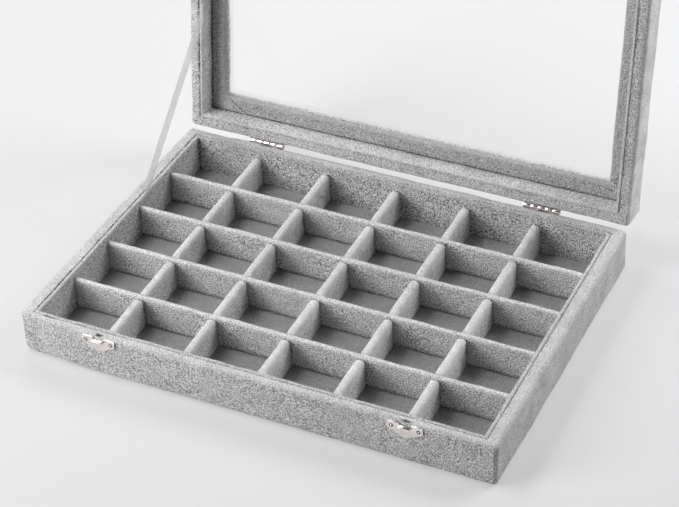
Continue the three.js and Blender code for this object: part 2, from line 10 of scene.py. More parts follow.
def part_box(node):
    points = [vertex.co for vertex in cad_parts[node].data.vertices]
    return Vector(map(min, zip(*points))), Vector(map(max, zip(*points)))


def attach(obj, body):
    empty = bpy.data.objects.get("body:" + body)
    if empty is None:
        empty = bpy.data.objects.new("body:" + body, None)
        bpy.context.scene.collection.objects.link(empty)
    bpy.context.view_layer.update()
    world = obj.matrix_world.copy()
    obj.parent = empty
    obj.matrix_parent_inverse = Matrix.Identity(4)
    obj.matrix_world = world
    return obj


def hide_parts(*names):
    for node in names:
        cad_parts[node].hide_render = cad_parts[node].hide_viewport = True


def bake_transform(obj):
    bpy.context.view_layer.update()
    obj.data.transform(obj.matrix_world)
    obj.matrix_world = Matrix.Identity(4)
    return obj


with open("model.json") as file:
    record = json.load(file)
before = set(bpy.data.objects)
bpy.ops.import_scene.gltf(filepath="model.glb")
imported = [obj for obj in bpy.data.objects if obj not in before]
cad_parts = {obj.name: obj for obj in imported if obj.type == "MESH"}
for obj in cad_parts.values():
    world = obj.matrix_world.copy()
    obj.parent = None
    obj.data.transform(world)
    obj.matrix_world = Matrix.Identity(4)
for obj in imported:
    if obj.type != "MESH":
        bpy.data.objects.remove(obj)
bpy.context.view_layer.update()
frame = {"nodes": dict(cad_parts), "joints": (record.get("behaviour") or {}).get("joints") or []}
MM = 0.001

# Camera, fitted to the photograph
CAMERA_PLACE = Vector((534.3, -1072.7, 939.5)) * MM
CAMERA_AZIMUTH = math.radians(26.093)
CAMERA_ELEVATION = math.radians(36.623)
CAMERA_ROLL = math.radians(-2.058)
CAMERA_LENS = 114.83
SENSOR_WIDTH = 36.0

# Grids of the covers: steps on the flats, beside the hooks and on the floor boards, and counts
# round a corner of the box and round an edge of a section
FABRIC_STEP = 1.7 * MM
FINE_STEP = 0.5 * MM
BOARD_STEP = 3 * MM
CORNER_STEPS = 20
ROUND_STEPS = 6

# Corners of the box, seen from above: radii, and the corners in the order of the sweep. Each is
# followed by a side, the last one by the front
CORNER_ROUND = 2.6 * MM
TIGHT_ROUND = 0.6 * MM
WINDOW_ROUND = 2.6 * MM
CORNER_SIGNS = ((1, -1), (1, 1), (-1, 1), (-1, -1))
FRONT_SIDE = 3
SIDES = ("front", "right", "back", "left")

# Swells of the covers: wavelength and height of each layer of smooth noise
BASE_SWELLS = ((45 * MM, 0.22 * MM), (13 * MM, 0.1 * MM), (5 * MM, 0.05 * MM))
LID_SWELLS = ((45 * MM, 0.2 * MM), (13 * MM, 0.1 * MM), (5 * MM, 0.05 * MM))
LINING_SWELLS = ((38 * MM, 0.12 * MM), (9 * MM, 0.06 * MM))
RAIL_SWELLS = ((38 * MM, 0.15 * MM), (9 * MM, 0.06 * MM))
ROW_SWELLS = ((40 * MM, 0.14 * MM), (11 * MM, 0.06 * MM))
COLUMN_SWELLS = ((34 * MM, 0.13 * MM), (10 * MM, 0.05 * MM))
RIM_SWELL = 0.22 * MM
LINING_CREST = 0.18 * MM

# Base cover: its upright seam, the pull at its front left corner, the dents behind the hooks
SEAM_SAMPLE = 3
SEAM_DEPTH = 0.55 * MM
CORNER_PULL = 2.6 * MM
CORNER_LIFT = 0.9 * MM
DENT_DEPTH = 1.1 * MM
DENT_DROP = 0.45 * MM
DENT_HALF_HEIGHT = 0.75 * MM
DENT_HALF_WIDTHS = (2.2 * MM, 3.6 * MM)

# Dividers: clearance of the laps, soft edges, and counts up a side and over a crown
LAP_CLEAR = 0.3 * MM
COLUMN_TOP_HALF = 3.2 * MM
COLUMN_WIDE_HALF = 3.6 * MM
COLUMN_SHOULDER = 3.6 * MM
COLUMN_SLOT_PINCH = 0.74
FOOT_ROUND = 0.5 * MM
SIDE_STEPS = 9
CROWN_STEPS = 8
BOARD_EDGE = 0.8 * MM

# How far each cross divider stands from its even place, at the front and at the back, and how
# strongly its right side is brushed, with painted light that lightens that side
COLUMN_SKEWS = tuple((front * MM, back * MM) for front, back in
                     ((0.2, -2.2), (2.2, -0.8), (2.7, 1.0), (2.6, 1.4), (1.0, 0.8)))
COLUMN_BRUSHED_AND_LIT = (0.15, 0.45, 0.7, 0.65, 0.55)

# Lap of velvet on a window rail: its section in millimetres, across it and up from the rail's
# underside, with the lid shut
LAP_PROFILE = ((-2.8, 0.25), (-1.8, -0.15), (-0.9, -0.4), (-0.3, -0.5), (-0.1, -0.48),
               (0.15, -0.35), (0.45, -0.2), (0.6, 0.3), (-1.4, 0.35))
LAP_STATIONS = 24
RAIL_EDGE_ROUND = 2.0 * MM

# Nails of the keepers: sections of a head and of the dark cup round it, as shares of their radius.
# The dark cup is painted shade, standing for the shade round the nail hole
NAIL_DOME = ((1.0, -0.12), (1.0, 0.06), (0.93, 0.24), (0.76, 0.42), (0.5, 0.57), (0.22, 0.64))
NAIL_CUP = ((1.0, -0.02), (1.0, 0.03), (0.86, 0.05), (0.6, 0.03), (0.3, 0.02))
NAIL_RADIUS = 0.75 * MM
CUP_RADIUS = 1.4 * MM
NAIL_SPREAD = 9.5 * MM
NAIL_DROP = 3.5 * MM
KEEPER_PLATE = 0.9 * MM
HEAD_STEPS = 20
METAL_BEVEL = 0.16 * MM

# Colours, linear
VELVET_COLOUR = (0.562, 0.556, 0.56)
RAIL_COLOUR = (0.43, 0.426, 0.43)
INSERT_COLOUR = (0.5, 0.496, 0.499)
CROSS_COLOUR = (0.59, 0.585, 0.588)
PAD_COLOUR = (0.4, 0.396, 0.397)
NICKEL_COLOUR = (0.88, 0.82, 0.8)
# The dark nickel also colours the cups round the keeper nails, which are painted shade
DARK_NICKEL_COLOUR = (0.045, 0.04, 0.04)
RIBBON_COLOUR = (0.96, 0.96, 0.97)
FLOOR_COLOUR = (0.45, 0.447, 0.455)

# Pile: scales of its noises, per metre, their shares of a velvet's grain, and what the rims, the
# hollows and brushed stretches do to it: the rims get a smoother grain and a painted highlight,
# the hollows painted shade, and the brushed stretches a smoother, streaked pile with painted light
CURL_SCALE = 260
CURL_TURNS = 5
CURL_SHARE = 0.14
TUFT_SCALE = 640
TUFT_SHARE = 0.1
SPECK_SCALE = 1500
SPECK_SHARE = 1.9
PATCH_SCALE = 55
PILE_SCALE = 620
RIM_SMOOTHING = -0.45
BRUSHED_SMOOTHING = -0.3
BRUSHED_STREAKS = 1.5
PAINTED_SHADE_LIFT = -0.65
PAINTED_SIDE_LIGHT = 0.34
DARKEST_PILE = 0.05
NOISE_RANGE = (0.3, 0.7)

# Stage: brightness of the floor near the box and far off, and of the sky, as the camera sees them
FLOOR_REACH = 6.0
FLOOR_GLOW = (0.31, 0.49)
FLOOR_GLOW_WAY = (0.0, 1.0, 0.0)
FLOOR_GLOW_FROM_TO = (-0.3, 0.55)
FAR_GLOW = (0.3, 0.78)
FAR_GLOW_FROM_TO = (0.55, 1.2)
WORLD_LIGHT = 0.05
SKY_SEEN = (0.83, 0.06)
SKY_FROM_TO = (0.08, 0.5)
SOFTBOXES = (("overhead_softbox", (-0.6, -0.15, 1.2), 0.4, 5.3),
             ("front_left_softbox", (-0.74, -0.81, 0.53), 0.54, 9.4),
             ("back_right_softbox", (0.7, 0.6, 0.8), 0.6, 7.5),
             ("back_left_softbox", (-0.6, 0.7, 0.9), 0.6, 3.3))


# Places from the frame

hinge = next(joint for joint in frame["joints"] if joint["name"] == "lid_hinge")
hinge_place = Vector(hinge["pos_m"])
lid_angle = math.radians(hinge["range_deg"][1])
open_lid = (Matrix.Translation(hinge_place) @ Matrix.Rotation(-lid_angle, 4, "X")
            @ Matrix.Translation(-hinge_place))
close_lid = open_lid.inverted()


def node_points(node):
    mesh = frame["nodes"][node].data
    points = np.zeros(len(mesh.vertices) * 3)
    mesh.vertices.foreach_get("co", points)
    return points.reshape(-1, 3)


def moved(points, matrix):
    turn = np.array(matrix.to_3x3())
    return points @ turn.T + np.array(matrix.translation)


def opened(points):
    """Points of a lid cover, which is modelled shut, turned open as the lid is at rest."""
    return moved(points, open_lid)


def closed_box(node):
    """Corners of one of the lid's nodes, with the lid turned shut."""
    points = moved(node_points(node), close_lid)
    return Vector(points.min(0)), Vector(points.max(0))


def side_nodes(pattern):
    return [pattern.format(side) for side in SIDES]


wall_low, wall_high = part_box("base_left_wall")
front_low, front_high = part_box("base_front_wall")
back_low, back_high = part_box("base_back_wall")
half_x, half_y = -wall_low.x, -front_low.y
base_top = wall_high.z
wall_inset = wall_high.x - wall_low.x
front_inset = front_high.y - front_low.y
back_inset = back_high.y - back_low.y
lid_liner = closed_box("lid_liner_left")
lid_rail = closed_box("lid_window_rail_left")

row_boxes = [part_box(f"row_divider_{number}") for number in range(1, 5)]
column_boxes = [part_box(f"column_divider_{number}") for number in range(1, 6)]
divider_foot = row_boxes[0][0].z
row_top = row_boxes[0][1].z
column_top = column_boxes[0][1].z
row_half = (row_boxes[0][1].y - row_boxes[0][0].y) / 2
column_foot_half = (column_boxes[0][1].x - column_boxes[0][0].x) / 2
lap_height = (divider_foot + row_top) / 2


# Meshes

def faces_by_size(faces):
    """The triangles and the quads, each as an array of rows."""
    for corners in (3, 4):
        rows = np.array([face for face in faces if len(face) == corners], int)
        if len(rows):
            yield rows


def face_volume(points, faces):
    """Signed volume of a closed mesh of quads and triangles."""
    total = 0.0
    for rows in faces_by_size(faces):
        for step in range(1, rows.shape[1] - 1):
            a, b, c = points[rows[:, 0]], points[rows[:, step]], points[rows[:, step + 1]]
            total += np.einsum("ij,ij->i", a, np.cross(b, c)).sum() / 6
    return total


def vertex_normals(points, faces):
    normals = np.zeros_like(points)
    for rows in faces_by_size(faces):
        across = np.cross(points[rows[:, 2]] - points[rows[:, 0]], points[rows[:, -1]] - points[rows[:, 1]])
        for corner in range(rows.shape[1]):
            np.add.at(normals, rows[:, corner], across)
    lengths = np.linalg.norm(normals, axis=1, keepdims=True)
    return normals / np.maximum(lengths, 1e-12)


def outward(points, faces):
    """The faces, turned so that they look out of the body."""
    if face_volume(points, faces) < 0:
        return [tuple(reversed(face)) for face in faces]
    return faces


def placed(name, data):
    """New object with that data, in the scene."""
    made = bpy.data.objects.new(name, data)
    bpy.context.scene.collection.objects.link(made)
    return made


def piece(name, points, faces, material, body, sharp_degrees=40, attributes=None):
    """Mesh object with smooth faces, its material and its body."""
    mesh = bpy.data.meshes.new(name)
    mesh.from_pydata([tuple(point) for point in points], [], faces)
    mesh.update()
    mesh.shade_smooth()
    mesh.set_sharp_from_angle(angle=math.radians(sharp_degrees))
    for title, values in (attributes or {}).items():
        layer = mesh.attributes.new(title, "FLOAT", "POINT")
        layer.data.foreach_set("value", np.asarray(values, np.float32))
    mesh.materials.append(material)
    made = placed(name, mesh)
    if body:
        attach(made, body)
    return made


def wobble(points, wavelength, seed, waves=12):
    """Smooth noise between about -1 and 1: a sum of plane waves in seeded directions."""
    random = np.random.default_rng(seed)
    directions = random.normal(size=(3, waves))
    directions /= np.linalg.norm(directions, axis=0)
    directions *= random.uniform(0.7, 1.4, waves)
    phases = random.uniform(0, 2 * math.pi, waves)
    return np.sin(points @ directions * (2 * math.pi / wavelength) + phases).sum(1) / math.sqrt(waves)


def soften(points, faces, swells, mask, seed):
    """Moves a cover along its normals by its layers of smooth noise."""
    normals = vertex_normals(points, faces)
    offset = np.zeros(len(points))
    for index, (wavelength, height) in enumerate(swells):
        offset += height * wobble(points, wavelength, seed + index)
    return points + normals * (offset * mask)[:, None]


def smoothstep(values, low, high):
    share = np.clip((values - low) / (high - low), 0, 1)
    return share * share * (3 - 2 * share)


def brushed_side(points, faces):
    """Share of a brushed pile with painted light: full on the right outer side of the box."""
    turned = smoothstep(vertex_normals(points, faces)[:, 0], 0.3, 0.8)
    return turned * (points[:, 0] > half_x - CORNER_ROUND)


def brushed_liner(points, faces):
    """Share of a brushed pile with painted light on the inner face of the left liner."""
    return 0.35 * (vertex_normals(points, faces)[:, 0] > 0.7) * (points[:, 0] < 0)


def by_side(points, front, right, back, left):
    """A value for each side of the box, taken by the nearest side."""
    x, y = points[:, 0], points[:, 1]
    gaps = np.stack((y + half_y, half_x - x, half_y - y, x + half_x))
    return np.array((front, right, back, left))[gaps.argmin(0)]


def divided(start, end, step):
    """Points from start to end, the end left out, at most a step apart."""
    start, end = np.array(start, float), np.array(end, float)
    count = max(1, math.ceil(np.linalg.norm(end - start) / step - 1e-6))
    return [start + (end - start) * index / count for index in range(count)]


def rounded_section(corners, step=FABRIC_STEP):
    """Closed outline through corners given as (inset, height, radius), with divided flats."""
    arcs = []
    count = len(corners)
    for index, (x, z, radius) in enumerate(corners):
        here = np.array((x, z), float)
        before = np.array(corners[index - 1][:2], float)
        after = np.array(corners[(index + 1) % count][:2], float)
        to_before = (before - here) / np.linalg.norm(before - here)
        to_after = (after - here) / np.linalg.norm(after - here)
        if radius <= 0:
            arcs.append([here])
            continue
        half_turn = math.acos(np.clip(to_before @ to_after, -1, 1)) / 2
        reach = radius / math.tan(half_turn)
        bisector = (to_before + to_after) / np.linalg.norm(to_before + to_after)
        centre = here + bisector * radius / math.sin(half_turn)
        first, last = here + to_before * reach - centre, here + to_after * reach - centre
        sweep = math.atan2(first[0] * last[1] - first[1] * last[0], first @ last)
        arc = []
        for part in range(ROUND_STEPS + 1):
            angle = sweep * part / ROUND_STEPS
            turn = np.array(((math.cos(angle), -math.sin(angle)), (math.sin(angle), math.cos(angle))))
            arc.append(centre + turn @ first)
        arcs.append(arc)
    outline = []
    for index, arc in enumerate(arcs):
        outline.extend(arc[:-1])
        outline.extend(divided(arc[-1], arcs[(index + 1) % count][0], step))
    return np.array(outline)


def side_shares(length, fine):
    """Shares along a straight side, both ends left out, closer together in the fine stretches."""
    places = [0.0]
    while places[-1] < length - 1e-9:
        here = places[-1]
        in_fine = any(low - FABRIC_STEP <= here < high for low, high in fine)
        places.append(here + (FINE_STEP if in_fine else FABRIC_STEP))
    scale = length / places[-1]
    return [place * scale / length for place in places[1:-1]]


def swept_frame(section, outer_radius, inner_radius, insets=None, fine_front=()):
    """Closed ring round the box. The section holds (inset, height) rows, and insets may hold other
    insets of those rows for the sides, the front and the back. Returns points, faces, and for each
    point its inset and its height in the section."""
    share = (section[:, 0] - section[:, 0].min()) / np.ptp(section[:, 0])
    radius = outer_radius + (inner_radius - outer_radius) * share
    side_insets, front_insets, back_insets = insets or [section[:, 0]] * 3
    reach_x = half_x - side_insets - radius
    reach_y = {-1: half_y - front_insets - radius, 1: half_y - back_insets - radius}

    def column(corner, angle):
        sign_x, sign_y = CORNER_SIGNS[corner % 4]
        return np.stack((sign_x * reach_x + radius * math.cos(angle),
                         sign_y * reach_y[sign_y] + radius * math.sin(angle), section[:, 1]), 1)

    columns = []
    for corner in range(4):
        for part in range(CORNER_STEPS + 1):
            columns.append(column(corner, math.pi / 2 * (corner - 1 + part / CORNER_STEPS)))
        last = columns[-1]
        first = column(corner + 1, math.pi / 2 * corner)
        length = 2 * (half_y if corner % 2 == 0 else half_x)
        for along in side_shares(length, fine_front if corner == FRONT_SIDE else ()):
            columns.append(last + (first - last) * along)
    points = np.stack(columns)
    around, rows = points.shape[:2]
    index = np.arange(around * rows).reshape(around, rows)
    right = np.roll(index, -1, 0)
    faces = np.stack((index, right, np.roll(right, -1, 1), np.roll(index, -1, 1)), 2).reshape(-1, 4)
    points = points.reshape(-1, 3)
    inset, height = np.tile(section.T, around)
    return points, outward(points, [tuple(face) for face in faces.tolist()]), inset, height


def loft(rings):
    """Closed body through rings of as many points each, with flat fans at both ends."""
    rings = np.array(rings)
    count, rows = rings.shape[:2]
    points = rings.reshape(-1, 3)
    faces = []
    for here in range(0, (count - 1) * rows, rows):
        ahead = here + rows
        for row in range(rows):
            after = (row + 1) % rows
            faces.append((here + row, ahead + row, ahead + after, here + after))
    for ring, order in ((0, 1), (count - 1, -1)):
        centre = len(points)
        points = np.vstack((points, points[ring * rows:(ring + 1) * rows].mean(0)))
        for row in range(rows):
            edge = (ring * rows + row, ring * rows + (row + 1) % rows)
            faces.append((centre,) + edge[::order])
    return points, outward(points, faces)


# Materials

class Tree:
    """Nodes of a material or the world, with short ways to add the kinds used here."""

    def __init__(self, owner, shader="Principled BSDF"):
        owner.use_nodes = True
        self.owner = owner
        self.nodes = owner.node_tree.nodes
        self.links = owner.node_tree.links
        self.shader = self.nodes[shader]

    def put(self, node, values):
        """A value or a link for each of a node's inputs, given by title or number."""
        for key, value in values.items():
            if isinstance(value, bpy.types.NodeSocket):
                self.links.new(value, node.inputs[key])
            else:
                node.inputs[key].default_value = value

    def shade(self, values):
        """Fills the inputs of the shader itself and gives back the material or the world."""
        self.put(self.shader, values)
        return self.owner

    def add(self, kind, values, result, operation=None):
        """New node with those inputs. Returns its output of that title."""
        node = self.nodes.new(kind)
        if operation:
            node.operation = operation
        self.put(node, values)
        return node.outputs[result]

    def place(self, space="Object"):
        return self.add("ShaderNodeTexCoord", {}, space)

    def attribute(self, title):
        node = self.nodes.new("ShaderNodeAttribute")
        node.attribute_name = title
        return node.outputs["Fac"]

    def noise(self, place, scale, detail, roughness, distortion=0.0):
        return self.add("ShaderNodeTexNoise", {
            "Vector": place, "Scale": scale, "Detail": detail,
            "Roughness": roughness, "Distortion": distortion}, "Fac")

    def spread(self, value, old, new):
        """The value, mapped from the old range to the new one and kept inside it."""
        return self.add("ShaderNodeMapRange", {
            "Value": value, "From Min": old[0], "From Max": old[1],
            "To Min": new[0], "To Max": new[1]}, "Result")

    def calculate(self, operation, first, second=0.0):
        return self.add("ShaderNodeMath", {0: first, 1: second}, "Value", operation)

    def plus(self, first, second):
        return self.calculate("ADD", first, second)

    def times(self, first, second):
        return self.calculate("MULTIPLY", first, second)

    def tint(self, colour, level):
        return self.add("ShaderNodeVectorMath", {0: colour, "Scale": level}, "Vector", "SCALE")

    def bump(self, height, strength, distance):
        return self.add("ShaderNodeBump", {
            "Height": height, "Strength": strength, "Distance": distance}, "Normal")

    def plain_rays(self):
        """1 for what the camera sees, also by reflection or through glass, 0 for light on the object."""
        rays = self.nodes.new("ShaderNodeLightPath").outputs
        seen = self.calculate("MAXIMUM", rays["Is Camera Ray"], rays["Is Glossy Ray"])
        return self.calculate("MAXIMUM", seen, rays["Is Transmission Ray"])


def velvet(name, colour, grain, patches, rim_highlight):
    """Short curly pile: curls that catch the light or lie in shade and brushed patches, smoother on
    the rims and where the pile was brushed flat. Painted highlights lighten the rims, painted shade
    darkens hollows, and painted light lightens the brushed sides."""
    tree = Tree(bpy.data.materials.new(name))
    place = tree.place()
    rim, painted_shade, brushed_and_lit = [tree.attribute(title) for title in ("rim", "painted_shade", "brushed_and_lit")]
    tuft, speck = grain * TUFT_SHARE, grain * SPECK_SHARE
    swirl = tree.times(tree.noise(place, CURL_SCALE, 2, 0.5, 0.5), 2 * math.pi * CURL_TURNS)
    curls = tree.times(tree.calculate("SINE", swirl), grain * CURL_SHARE)
    tufts = tree.spread(tree.noise(place, TUFT_SCALE, 2, 0.5, 0.8), (0.38, 0.62), (-tuft, tuft))
    specks = tree.spread(tree.noise(place, SPECK_SCALE, 1, 0.4, 0.4), (0.36, 0.62), (-speck, speck))
    clouds = tree.spread(tree.noise(place, PATCH_SCALE, 3, 0.55, 0.8), NOISE_RANGE, (-patches, patches))
    smooth = tree.plus(tree.times(rim, RIM_SMOOTHING), tree.times(brushed_and_lit, BRUSHED_SMOOTHING))
    streaks = tree.times(clouds, tree.plus(tree.times(brushed_and_lit, BRUSHED_STREAKS), 1.0))
    pile = tree.times(tree.plus(tree.plus(curls, tufts), specks), tree.plus(smooth, 1.0))
    level = tree.plus(pile, streaks)
    # Painted light: a highlight on the rims, shade in seams, dents, corners and along the feet, and light on
    # sides that face right
    for share, lift in ((rim, rim_highlight), (painted_shade, PAINTED_SHADE_LIFT), (brushed_and_lit, PAINTED_SIDE_LIGHT)):
        level = tree.plus(level, tree.times(share, lift))
    level = tree.calculate("MAXIMUM", tree.plus(level, 1.0), DARKEST_PILE)
    return tree.shade({
        "Base Color": tree.tint(colour, level),
        "Roughness": 0.92,
        "Specular IOR Level": 0.15,
        "Sheen Weight": 0.35,
        "Sheen Roughness": 0.45,
        "Sheen Tint": (1.0, 0.99, 1.0, 1.0),
        "Normal": tree.bump(tree.noise(place, PILE_SCALE, 4, 0.7, 1.2), 0.6, 0.4 * MM)})


def nickel(name, colour, roughness):
    """Bright plated sheet with a faint rolling grain and fine handling marks."""
    tree = Tree(bpy.data.materials.new(name))
    place = tree.place()
    stretched = tree.add("ShaderNodeMapping", {"Vector": place, "Scale": (0.12, 1.0, 1.0)}, "Vector")
    grain = tree.noise(stretched, 2600, 3, 0.6)
    cloud = tree.noise(place, 240, 3, 0.6, 0.6)
    level = tree.plus(tree.spread(grain, NOISE_RANGE, (-0.05, 0.05)),
                      tree.spread(cloud, NOISE_RANGE, (0.93, 1.05)))
    return tree.shade({
        "Base Color": tree.tint(colour, level),
        "Roughness": tree.spread(cloud, NOISE_RANGE, (roughness * 0.8, roughness * 1.3)),
        "Metallic": 1.0,
        "Normal": tree.bump(grain, 0.12, 0.05 * MM)})


def clear_glass():
    tree = Tree(bpy.data.materials.new("clear_glass"))
    haze = tree.noise(tree.place(), 30, 3, 0.6)
    return tree.shade({
        "Base Color": (0.975, 0.99, 0.985, 1.0),
        "Roughness": tree.spread(haze, NOISE_RANGE, (0.0, 0.012)),
        "Transmission Weight": 1.0,
        "IOR": 1.46,
        "Alpha": 0.22})


def satin():
    """Translucent ribbon with a fine weave and slightly darker edges."""
    tree = Tree(bpy.data.materials.new("satin_ribbon"))
    weave = tree.noise(tree.place(), 1400, 2, 0.5)
    level = tree.plus(tree.spread(weave, NOISE_RANGE, (0.95, 1.03)),
                      tree.times(tree.attribute("rim"), -0.08))
    return tree.shade({
        "Base Color": tree.tint(RIBBON_COLOUR, level),
        "Roughness": 0.5,
        "Sheen Weight": 0.3,
        "Subsurface Weight": 1.0,
        "Subsurface Radius": (1.0, 1.0, 1.0),
        "Subsurface Scale": 2.0 * MM,
        "Alpha": 0.42,
        "Normal": tree.bump(weave, 0.3, 0.1 * MM)})


# The last number of each velvet sets its painted highlight on the rims and crests
outer_velvet = velvet("outer_velvet", VELVET_COLOUR, grain=0.4, patches=0.09, rim_highlight=0.1)
rail_velvet = velvet("rail_velvet", RAIL_COLOUR, grain=0.36, patches=0.05, rim_highlight=0.05)
insert_velvet = velvet("insert_velvet", INSERT_COLOUR, grain=0.52, patches=0.06, rim_highlight=0.4)
smooth_velvet = velvet("smooth_velvet", CROSS_COLOUR, grain=0.34, patches=0.12, rim_highlight=0.24)
pad_velvet = velvet("pad_velvet", PAD_COLOUR, grain=0.2, patches=0.08, rim_highlight=0.0)
bright_nickel = nickel("bright_nickel", NICKEL_COLOUR, roughness=0.2)
dark_nickel = nickel("dark_nickel", DARK_NICKEL_COLOUR, roughness=0.5)
window_glass = clear_glass()
ribbon_satin = satin()


# Base covers

def wall_insets(insets, thickness):
    """Insets of the side walls' section, drawn together over the flat for a thinner wall."""
    outer_part, inner_part = 2.8 * MM, 1.2 * MM
    return np.interp(insets, (0, outer_part, wall_inset - inner_part, wall_inset),
                     (0, outer_part, thickness - inner_part, thickness))


def hook_dents(points, inset, hooks):
    """Share of the dent that each hook presses into the rim."""
    dent = np.zeros(len(points))
    for hook, half_width in zip(hooks, DENT_HALF_WIDTHS):
        across = (points[:, 0] - hook) / half_width
        up = (points[:, 2] - (base_top - DENT_DROP)) / DENT_HALF_HEIGHT
        dent = np.maximum(dent, np.exp(-(across ** 4 + up ** 2)) * (inset < 2.5 * MM))
    return dent


def base_cover():
    """Velvet wrapped round the four walls, with its one upright seam at the front right corner."""
    section = rounded_section([
        (0, 0, 4 * MM), (0, base_top, 2.8 * MM),
        (wall_inset, base_top, 0.9 * MM), (wall_inset, 0, 1.1 * MM)])
    insets = [wall_insets(section[:, 0], thickness) for thickness in (wall_inset, front_inset, back_inset)]
    keepers = [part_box(f"latch_{side}_keeper") for side in ("left", "right")]
    hooks = [(low.x + high.x) / 2 for low, high in keepers]
    fine_front = [(hook + half_x - 7 * MM, hook + half_x + 7 * MM) for hook in hooks]
    points, faces, inset, height = swept_frame(section, CORNER_ROUND, TIGHT_ROUND, insets, fine_front)
    showing = 1 - smoothstep(inset, 0.75 * wall_inset, wall_inset)
    showing *= smoothstep(height, 0, 4 * MM) * 0.8 + 0.2
    points = soften(points, faces, BASE_SWELLS, showing, seed=3)
    points[:, 2] = np.minimum(points[:, 2], base_top + RIM_SWELL)

    near_seam = np.abs(np.arange(len(points)) // len(section) - SEAM_SAMPLE)
    pinch = np.where(near_seam == 0, 1.0, np.where(near_seam == 1, 0.25, 0.0))
    pinch *= (inset < 1.5 * MM) * (1 - smoothstep(height, base_top - 4 * MM, base_top - 2 * MM))
    dent = hook_dents(points, inset, hooks)
    normals = vertex_normals(points, faces)
    points = points - normals * (pinch * SEAM_DEPTH + dent * DENT_DEPTH)[:, None]

    # Painted shade: in the seam pressed in at the front right corner, in the dents behind the hooks, and in
    # dots along the groove between the wall and the lining, more on some sides
    in_seam = smoothstep(inset, wall_inset - 0.9 * MM, wall_inset - 0.3 * MM)
    in_seam *= height > base_top - 3 * MM
    dotted_seam_shade = np.clip(0.5 + 0.5 * wobble(points, 4 * MM, seed=9), 0.2, 1.0)
    dotted_seam_shade *= by_side(points, front=0.5, right=0.9, back=0.3, left=1.3)
    painted_shade = np.maximum(np.maximum(pinch, dent * 1.75), in_seam * dotted_seam_shade)

    corner = 1 - smoothstep(points[:, 0], -half_x + 4 * MM, -half_x + 60 * MM)
    corner *= 1 - smoothstep(points[:, 1], -half_y + 3 * MM, -half_y + 9 * MM)
    corner *= 1 - smoothstep(inset, 0.3 * wall_inset, 0.9 * wall_inset)
    points[:, 1] += CORNER_PULL * corner
    points[:, 2] += CORNER_LIFT * corner * (1 - smoothstep(height, 0, base_top / 2))

    # Painted highlight along the top rim
    rim = smoothstep(height, base_top - 3.5 * MM, base_top - 0.5 * MM)
    rim *= 1 - smoothstep(inset, 0.7 * wall_inset, wall_inset)
    made = piece("base_cover", points, faces, outer_velvet, "base", 60,
                 {"rim": rim, "painted_shade": painted_shade, "brushed_and_lit": brushed_side(points, faces)})
    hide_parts(*side_nodes("base_{}_wall"))


def base_lining():
    """Thin covered boards inside the walls, in shade along their crests and in the back left corner."""
    low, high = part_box("base_liner_left")
    outer, inner = low.x + half_x, high.x + half_x
    bottom, top = low.z, high.z
    section = rounded_section([
        (outer, bottom, 0.2 * MM), (outer, top, 0.7 * MM),
        (inner, top, 1.1 * MM), (inner, bottom, 0.2 * MM)])
    insets = [section[:, 0] - wall_inset + thickness for thickness in (wall_inset, front_inset, back_inset)]
    points, faces, inset, height = swept_frame(section, TIGHT_ROUND, TIGHT_ROUND, insets)
    showing = smoothstep(inset, outer + 0.3 * MM, inner - 0.3 * MM)
    showing *= smoothstep(height, bottom, bottom + 4 * MM)
    points = soften(points, faces, LINING_SWELLS, showing, seed=21)
    crest = smoothstep(height, top - 2 * MM, top)
    points[:, 2] += crest * LINING_CREST * wobble(points, 30 * MM, seed=24)
    points[:, 2] = np.minimum(points[:, 2], top + 0.25 * MM)
    # Painted highlight on the crests; painted shade along the crests, most at the back, and in the back left
    # corner; painted light on the left liner's inner face
    rim = smoothstep(height, top - 2.2 * MM, top - 0.3 * MM)
    shade = rim * by_side(points, front=0.5, right=0.45, back=0.75, left=0.4)
    corner = np.hypot(points[:, 0] + half_x - inner, points[:, 1] - half_y + inner - wall_inset + back_inset)
    shade = np.maximum(shade, np.exp(-(corner / (1.4 * MM)) ** 2))
    made = piece("base_lining", points, faces, insert_velvet, "base", 60,
                 {"rim": rim, "painted_shade": shade, "brushed_and_lit": brushed_liner(points, faces)})
    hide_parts(*side_nodes("base_liner_{}"))


